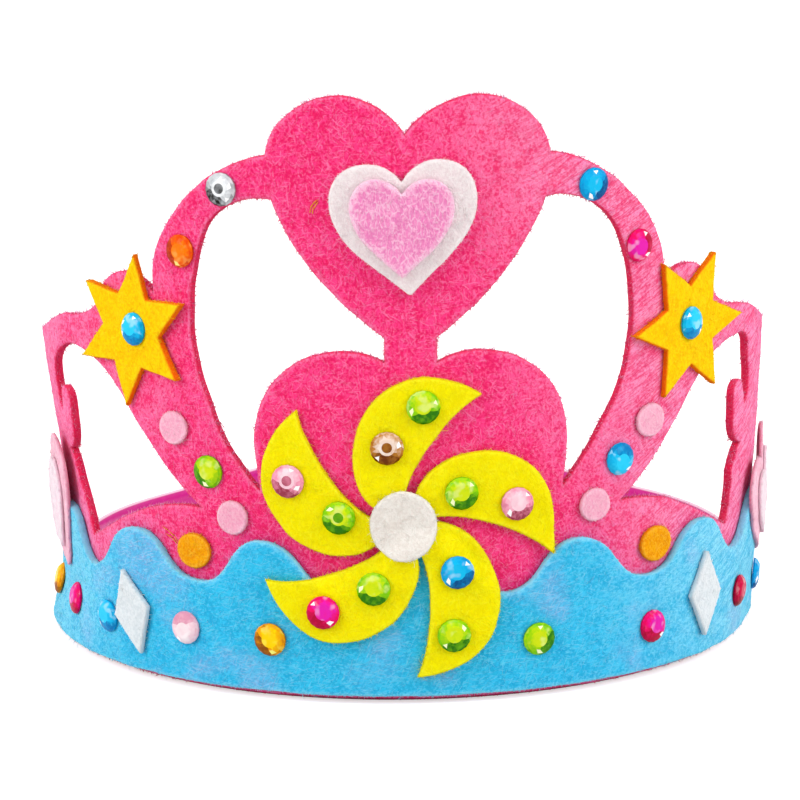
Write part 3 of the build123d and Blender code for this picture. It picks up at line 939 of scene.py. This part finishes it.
# Place, lower and upper heart with their felts, level and thickness
HEARTS = (
    ("front", "white", "warm_white_felt", "pink", "pale_pink_felt", trim_level, TRIM),
    ("left", "pink", "dot_felt", "white", "rosy_white_felt", flank_level, FLANK),
    ("right", "pink", "dot_felt", "white", "rosy_white_felt", flank_level, FLANK),
)
for i, (place, under, under_felt, over, over_felt, level, thickness) in enumerate(HEARTS):
    lower, upper = f"{under}_heart_{place}", f"{over}_heart_{place}"
    felt_piece(lower, under_felt, level(0), thickness, seed=9.0 + i)
    felt_piece(upper, over_felt, level(1), thickness, seed=12.0 + i)
for i, (side, lifts) in enumerate((("left", (0.8, 0.8)), ("right", (0.2, 0.9)))):
    star, rhombus, dot = f"star_{side}", f"rhombus_{side}", f"orange_dot_{side}"
    level = star_level(middle_of(star), *lifts)
    felt_piece(star, "amber_felt", level, TRIM, seed=15.0 + i, sag=0.8)
    felt_piece(rhombus, "cool_white_felt", trim_level(0), TRIM, seed=17.0 + i)
    felt_piece(dot, "orange_felt", constant(ON_PANEL), DOT, seed=19.0 + i)
for i, side in enumerate(("left_high", "left_low", "right_low", "right_high")):
    felt_piece(f"pale_dot_{side}", "dot_felt", constant(ON_PANEL), DOT, seed=21.0 + i)

# %% [markdown]
# ## The headband strip
#
# A strip of glossy sheet plastic runs inside the felt and stands on the table. Its ends
# are slotted half way and hook into each other at the back. A ribbon could be swept
# along a curve, but a sweep can't be slotted. It is cut flat like the felt, with its
# slots, and bent by a function that goes round the arc and on along straight tangents.

# %% Make the strip
STRIP_MIDDLE, STRIP_THICKNESS, STRIP_HEIGHT = 85.1, 1.0, 18.0
STRIP_ARC = math.radians(130)
STRIP_TIP, STRIP_CORNER, SLOT_WIDTH, SLOT_SPARE = 11.0, 4.0, 1.6, 0.15
BEND_FADES = (100, 185)                     # mm along the strip, out of the hand bend
arc_length = STRIP_ARC * STRIP_MIDDLE
crossing = arc_length + STRIP_MIDDLE * math.sin(STRIP_ARC) / -math.cos(STRIP_ARC)


def strip_end(side):
    """Flat points of one slotted end, from its lower to its upper edge."""
    end = crossing + STRIP_TIP
    low = [
        (end - STRIP_CORNER * (1 - math.sin(t)), STRIP_CORNER * (1 - math.cos(t)))
        for t in np.linspace(0, math.pi / 2, 7)
    ]
    high = [(x, STRIP_HEIGHT - y) for x, y in low[::-1]]
    near, far = crossing - SLOT_WIDTH / 2, crossing + SLOT_WIDTH / 2
    if side > 0:
        depth = STRIP_HEIGHT / 2 + SLOT_SPARE
        return [(near, 0), (near, depth), (far, depth), (far, 0), *low, *high]
    depth = STRIP_HEIGHT / 2 - SLOT_SPARE
    return [*low, *high, (far, STRIP_HEIGHT), (far, depth), (near, depth), (near, STRIP_HEIGHT)]


def along_strip(x, h, z):
    """Flat points of the strip, bent round and on along the tangents."""
    over = np.maximum(np.abs(x) - arc_length, 0)
    angle = np.clip(x / STRIP_MIDDLE, -STRIP_ARC, STRIP_ARC)
    fade = 1 - smooth(np.abs(x), *BEND_FADES)
    ring_x = angle * ROLL
    radius = STRIP_MIDDLE + z - STRIP_THICKNESS / 2
    out = radius + hand_bend(ring_x, h) * fade
    side = np.sign(x)
    east = out * np.sin(angle) + side * over * np.cos(angle)
    south = out * np.cos(angle) - side * over * np.sin(angle)
    return in_room(east, south, h)


def glossy_strip():
    """Cloudy magenta plastic, its cut upper edge pale and its foot painted darker, a painted shade
    where it stands on the table.
    """
    paint = Paint("magenta_strip")
    place = paint.attribute("pattern")
    height = paint.node("ShaderNodeSeparateXYZ", values={0: place}, output=1)
    edge = height.between(STRIP_HEIGHT - 0.6, STRIP_HEIGHT - 0.2)
    cloudy = paint.noise(place, 0.35, 3).between(0.3, 0.8)
    body = paint.mix(cloudy * 0.35, colour("D20E8C"), colour("E83AA6"))
    body = paint.mix(edge, body, colour("F7D3E6"))
    ripple = paint.node(
        "ShaderNodeBump",
        values={"Strength": 0.25, "Distance": 0.0004, "Height": paint.noise(place, 0.12, 2)},
    )
    return paint.finish({
        # The lowest few mm are painted a darker, duller magenta: painted shade where the strip
        # meets the table
        "Base Color": paint.mix(1 - height.between(2.5, 3.5), body, colour("B4486E")),
        "Roughness": edge * 0.25 + 0.3,
        "Specular IOR Level": 0.25,
        "Coat Weight": 0.15,
        "Coat Roughness": 0.12,
        "Normal": ripple,
    })


right_end = strip_end(1)
left_end = [(-x, y) for x, y in strip_end(-1)][::-1]
strip_loop = np.array(right_end + left_end)
strip = sheet_piece("strip", [strip_loop], STRIP_THICKNESS, 3.0, 0.25, along_strip)
strip.data.materials.append(glossy_strip())
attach(strip, "root")
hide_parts("headband_strip")
print("strip", len(strip.data.polygons), "faces")

# %% [markdown]
# ## Gems
#
# The gems are 8 mm acrylic stones with a flat, foil-backed underside. Real refraction
# would need many samples for so small a thing. What the eye reads is the pattern of
# light and dark facets, with a dark disc inside the table of some. So the facets are
# real, and each carries a painted shade of the light its foil would reflect: a painted
# dark crescent, and on some a dark disc, where it would reflect little, and painted
# sparkles where it would catch a lamp. A fine noise adds painted gleams and breaks the
# shades up.

# %% Shape of a gem
GEM_SIDES, GEM_RADIUS, GEM_GIRDLE, GEM_HEIGHT = 16, 4.0, 0.45, 1.65
GEM_WAIST, GEM_TABLE = (3.45, 1.05), (2.5, 1.52)    # mm, radius and height
GEM_DISC, GEM_HEART = 1.95, 1.25            # mm, radii of the disc in the table and its middle
DISC_SHIFT = 0.45                           # mm, away from the shaded side


def gem_ring(radius, z, turn, shift=(0, 0)):
    """Corners at one height of a gem, turned by a share of a side."""
    return [
        (radius * math.cos((i + turn) * 2 * math.pi / GEM_SIDES) + shift[0],
         radius * math.sin((i + turn) * 2 * math.pi / GEM_SIDES) + shift[1], z)
        for i in range(GEM_SIDES)
    ]


def gem_faces(draw, shaded_side, sparkles, dark_heart):
    """Corners in mm and a painted shade for each facet: 0 dark, 0.35 rim, 0.7 table, 1 a sparkle.

    The dark crescent lies at shaded_side, the sparkles at theirs, in degrees from the right.
    """
    n = GEM_SIDES
    down = math.radians(shaded_side)
    off = (-DISC_SHIFT * math.cos(down), -DISC_SHIFT * math.sin(down))
    back, girdle = gem_ring(GEM_RADIUS, 0, 0), gem_ring(GEM_RADIUS, GEM_GIRDLE, 0)
    waist = gem_ring(*GEM_WAIST, 0.5)
    table = gem_ring(*GEM_TABLE, 0, (off[0] / 2, off[1] / 2))
    disc = gem_ring(GEM_DISC, GEM_HEIGHT, 0.5, off)
    yield back[::-1], 0.3

    def apart(corners, angle):
        """How far a facet is from a direction, in degrees."""
        x, y = (sum(c[i] for c in corners) / len(corners) for i in (0, 1))
        turn = math.atan2(y, x) - angle
        return abs(math.degrees(math.atan2(math.sin(turn), math.cos(turn))))

    def crown(facet, level):
        """Shade of a crown facet: dark at the shaded side, pale across from it."""
        turn = apart(facet, down)
        shade = level + 0.14 * smooth(turn, 110, 170) - level * 0.9 * (1 - smooth(turn, 50, 80))
        return float(shade) + draw.uniform(-0.08, 0.08)

    glints = [
        min(range(n), key=lambda i: apart((waist[i], waist[(i + 1) % n]), math.radians(angle)))
        for angle in sparkles
    ]
    for i in range(n):
        j = (i + 1) % n
        yield (back[i], back[j], girdle[j], girdle[i]), 0.22
        yield (girdle[i], girdle[j], waist[i]), crown((girdle[i], girdle[j]), 0.36)
        yield (waist[i], girdle[j], waist[j]), crown((waist[i], waist[j]), 0.3)
        first = 1.0 if i in glints else crown((waist[i], waist[j]), 0.4)
        yield (table[j], waist[i], waist[j]), first
        second = 1.0 if i in glints[:1] else crown((table[i], table[j]), 0.46)
        yield (waist[i], table[j], table[i]), second
        yield (table[i], table[j], disc[i]), crown((table[i], table[j]), 0.5)
        yield (disc[i], table[j], disc[j]), crown((disc[i], disc[j]), 0.56)
    if dark_heart:
        heart = gem_ring(GEM_HEART, GEM_HEIGHT, 0.5, off)
        for i in range(n):
            j = (i + 1) % n
            yield (disc[i], disc[j], heart[j], heart[i]), 0.72 + draw.uniform(-0.05, 0.05)
        yield heart, 0.12
    else:
        yield disc, 0.7


# %% Gem finishes


def gem_paint(name, dark, rim, table, spark="FFFFFF"):
    """Foil-backed acrylic with painted reflections; the colours are those of the painted dark
    crescent, the crown, the table and the painted sparkles.
    """
    paint = Paint(name)
    glint = paint.attribute("glint", "Fac")
    spot = paint.node("ShaderNodeTexCoord", output=3)
    # Painted gleams of light, and a painted shift of the facets' shades, as reflections off the
    # foil
    gleam, painted_shade_noise = paint.noise(spot, 420, 1), paint.noise(spot, 560, 2, 0.6)
    depth = glint + (painted_shade_noise - 0.5) * 0.5 * (1 - glint.between(0.85, 0.95))
    stops = [(0.0, dark), (0.35, rim), (0.7, table)]
    ramp = paint.node(
        "ShaderNodeValToRGB",
        {"stops": [(position, colour(code)) for position, code in stops]},
        {"Fac": depth},
    )
    lit = gleam.between(0.52, 0.68) * glint.between(0.2, 0.4) * 0.45
    shade = paint.mix(lit, ramp, paint.mix(0.55, colour(table), colour(spark)))
    return paint.finish({
        "Base Color": paint.mix(glint.between(0.85, 0.95), shade, colour(spark)),
        "Roughness": 0.3,
        "Specular IOR Level": 0.03,
        "Coat Weight": 0.1,
        "Coat Roughness": 0.04,
    })


# The shades of each gem's painted dark crescent, crown and table, and of its painted sparkles where
# not white
GEM_SHADES = {
    "green_gem": ("2A7400", "80C800", "CBDD0C", "F8FCC8"),
    "blue_gem": ("004C88", "0098D8", "0CB8E8"),
    "magenta_gem": ("B00034", "EC0060", "E01CA8"),
    "pink_gem": ("98384C", "EC90AC", "F0C6D2"),
    "orange_gem": ("A82C00", "EC4C00", "F47800", "FFE080"),
    "champagne_gem": ("6A3000", "B87828", "E8D0C0"),
    "clear_gem": ("1C1814", "BCC0C4", "ECEEF0"),
    "red_gem": ("80001C", "C00038", "CC0848"),
    "golden_gem": ("8C4A00", "F09800", "F8D000", "FCF47C"),
    "cream_gem": ("D890A8", "ECC4D0", "F0DCE0"),
    "cyan_gem": ("0078B8", "08B0E4", "24C8F0"),
}
GEM_PAINTS = {name: gem_paint(name, *shades) for name, shades in GEM_SHADES.items()}
print("gem finishes:", ", ".join(GEM_PAINTS))

# %% Seat the gems
gem_nodes = sorted(node for node in frame["nodes"] if node.startswith("gem_"))
# Gems with a painted dark disc in the table, a painted reflection
DARK_HEARTED = ("petal_top_inner", "arch_left_high", "petal_left_outer", "petal_left_inner")
# Where each gem's painted dark crescent and painted sparkles lie, in degrees from the right
GLINTS = {
    "arch_left_high": (-130, (15, -50)),
    "arch_left_low": (190, (-85,)),
    "arch_right_high": (-30, (-110, 85)),
    "arch_right_low": (10, (-50, 60)),
    "star_left": (-90, (150, 205, 60)),
    "star_right": (-90, (0, -35, 140)),
    "leg_left": (-140, (-90,)),
    "leg_right": (70, (-45,)),
    "petal_top_outer": (-75, (200, 30)),
    "petal_top_inner": (-95, (20, 215)),
    "petal_left_outer": (-115, (-30, 60)),
    "petal_left_inner": (-110, (140,)),
    "petal_low_left_outer": (-130, (-50, 125)),
    "petal_low_left_inner": (-100, (170,)),
    "petal_right_inner": (-65, (-140, 45)),
    "petal_right_outer": (-75, (-135, 45)),
    "petal_low_right_inner": (-60, (-145, 50)),
    "petal_low_right_outer": (-80, (40, -130)),
    "band_left_1": (-140, (-70,)),
    "band_left_2": (100, (-120,)),
    "band_left_3": (-90, (170, 215)),
    "band_right_1": (-30, (-95, 80)),
    "band_right_2": (-110, (-45,)),
    "band_right_3": (-90, ()),
}
# Gems that aren't quite the colour of their slot
FINISHES = {
    "band_left_1": "golden_gem", "band_left_5": "golden_gem", "band_left_2": "cream_gem",
    "band_left_3": "cyan_gem", "star_left": "cyan_gem", "star_right": "cyan_gem",
    "leg_right": "cyan_gem",
}
# Gems glued a little off their places: mm aside and up
NUDGES = {
    "band_left_4": (-2.2, 0),
    "band_left_3": (-0.8, 0),
    "band_left_2": (-0.8, 0),
    "arch_right_low": (0.9, -0.1),
    "arch_right_high": (-0.4, 0),
    "arch_left_low": (-1.3, -0.3),
    "arch_left_high": (-0.9, -0.4),
}


def seat(x, h, radius):
    """Matrix of a seat on the ring: z points out of the surface, y up along it."""
    here = on_ring(x, h, radius)
    east = Vector(on_ring(x + 0.5, h, radius) - here).normalized()
    up = Vector(on_ring(x, h + 0.5, radius) - here).normalized()
    out = east.cross(up).normalized()
    up = out.cross(east)
    return placed(Vector(here), east, up, out)


def place_gem(node, index):
    """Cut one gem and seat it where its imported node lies."""
    draw = np.random.default_rng(900 + index)
    spot = node.removeprefix("gem_")
    low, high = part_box(node)
    middle = (low + high) / 2 / MM
    east, south = middle.x - RING_AXIS[0], RING_AXIS[1] - middle.y
    aside, up = NUDGES.get(spot, (0, 0))
    x, h = math.atan2(east, south) * ROLL + aside, middle.z + up
    points = np.array([v.co for v in frame["nodes"][node].data.vertices]) / MM
    radius = np.sort(np.hypot(points[:, 0] - RING_AXIS[0], points[:, 1] - RING_AXIS[1]))[2]
    level = min((ON_PANEL, ON_SHAPE, ON_BAND, ON_BAND_SHAPE), key=lambda r: abs(r - radius))
    if level == ON_BAND_SHAPE:
        level = ON_SHAPE + float(over_band(x, h))
    if spot.startswith("star"):
        level = ON_SHAPE
    mesh = bpy.data.meshes.new(node + "_cut")
    built = bmesh.new()
    shade = built.faces.layers.float.new("glint")
    shaded_side, sparkles = GLINTS.get(spot, (-90, (200,)))
    for corners, glint in gem_faces(draw, shaded_side, sparkles, spot in DARK_HEARTED):
        face = built.faces.new([built.verts.new(c) for c in corners])
        face[shade] = glint
    bmesh.ops.remove_doubles(built, verts=built.verts, dist=1e-4)
    built.to_mesh(mesh)
    built.free()
    tilt = Matrix.Rotation(math.radians(draw.uniform(-3, 3)), 4, "X")
    mesh.transform(seat(x, h, level) @ tilt @ Matrix.Scale(MM, 4))
    piece = add_object(node + "_cut", mesh)
    mesh.materials.append(GEM_PAINTS[FINISHES.get(spot, slot_of[node])])
    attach(piece, "root")
    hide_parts(node)
    return piece


gems = [place_gem(node, i) for i, node in enumerate(gem_nodes)]
facets = sorted({len(gem.data.polygons) for gem in gems})
print(len(gems), "gems of", " or ".join(map(str, facets)), "facets")

# %% [markdown]
# ## Floor and light
#
# The photograph has a plain white ground. The floor is pale, and it looks white to the
# camera and in reflections, so no lamp has to be turned up for it. The world does the
# same. Two large soft lamps stand at the left and right, as the shadows beside the stars
# and the rhombi show, and a weaker one hangs above. Two more, weaker still, stand behind
# them and light the ends of the ring.

# %% Floor, lamps and world
LAMP_DISTANCE, LAMP_TARGET = 1.6, Vector((0, 0, 0.06))      # m


def white_ground():
    """A pale floor that looks white where it is seen directly."""
    paint = Paint("floor")
    diffuse = paint.node("ShaderNodeBsdfDiffuse", values={"Color": (0.8, 0.8, 0.8, 1)})
    glow = paint.node("ShaderNodeEmission", values={"Color": (1, 1, 1, 1), "Strength": 0.6})
    both = paint.node("ShaderNodeAddShader", values={0: diffuse, 1: glow})
    mixed = paint.node(
        "ShaderNodeMixShader", values={0: paint.seen_directly(), 1: diffuse, 2: both}
    )
    paint.plug(paint.tree.nodes["Material Output"].inputs["Surface"], mixed)
    return paint.material



floor_mesh = bpy.data.meshes.new("floor")
floor_mesh.from_pydata([(-4, -3, 0), (4, -3, 0), (4, 5, 0), (-4, 5, 0)], [], [(0, 1, 2, 3)])
floor_mesh.materials.append(white_ground())
floor = add_object("floor", floor_mesh)


def soft_lamp(name, azimuth, elevation, size, power):
    """A square lamp aimed at the crown; angles in degrees, size in metres, power in watts."""
    away = direction(azimuth, elevation)
    data = bpy.data.lights.new(name, "AREA")
    data.size, data.energy = size, power
    lamp = add_object(name, data)
    lamp.location = away * LAMP_DISTANCE + LAMP_TARGET
    lamp.rotation_euler = away.to_track_quat("Z", "Y").to_euler()
    return lamp


lamps = [
    soft_lamp("left_lamp", -62, 28, 0.9, 12.8),
    soft_lamp("right_lamp", 62, 28, 0.9, 12.8),
    soft_lamp("top_lamp", 0, 70, 1.0, 6.5),
    soft_lamp("left_side_lamp", -115, 20, 0.8, 2.2),
    soft_lamp("right_side_lamp", 115, 20, 0.8, 2.2),
]
print("lamps:", ", ".join(f"{lamp.name} {lamp.data.energy:.1f} W" for lamp in lamps))

world = bpy.data.worlds.new("world")
bpy.context.scene.world = world
sky = Nodes(world)
strength = sky.node(
    "ShaderNodeMapRange", values={"Value": sky.seen_directly(), "To Min": 0.46, "To Max": 1.0}
)
background = sky.tree.nodes["Background"]
sky.plug(background.inputs["Strength"], strength)
sky.plug(background.inputs["Color"], (1, 1, 1, 1))
bpy.context.scene.view_settings.view_transform = "Standard"
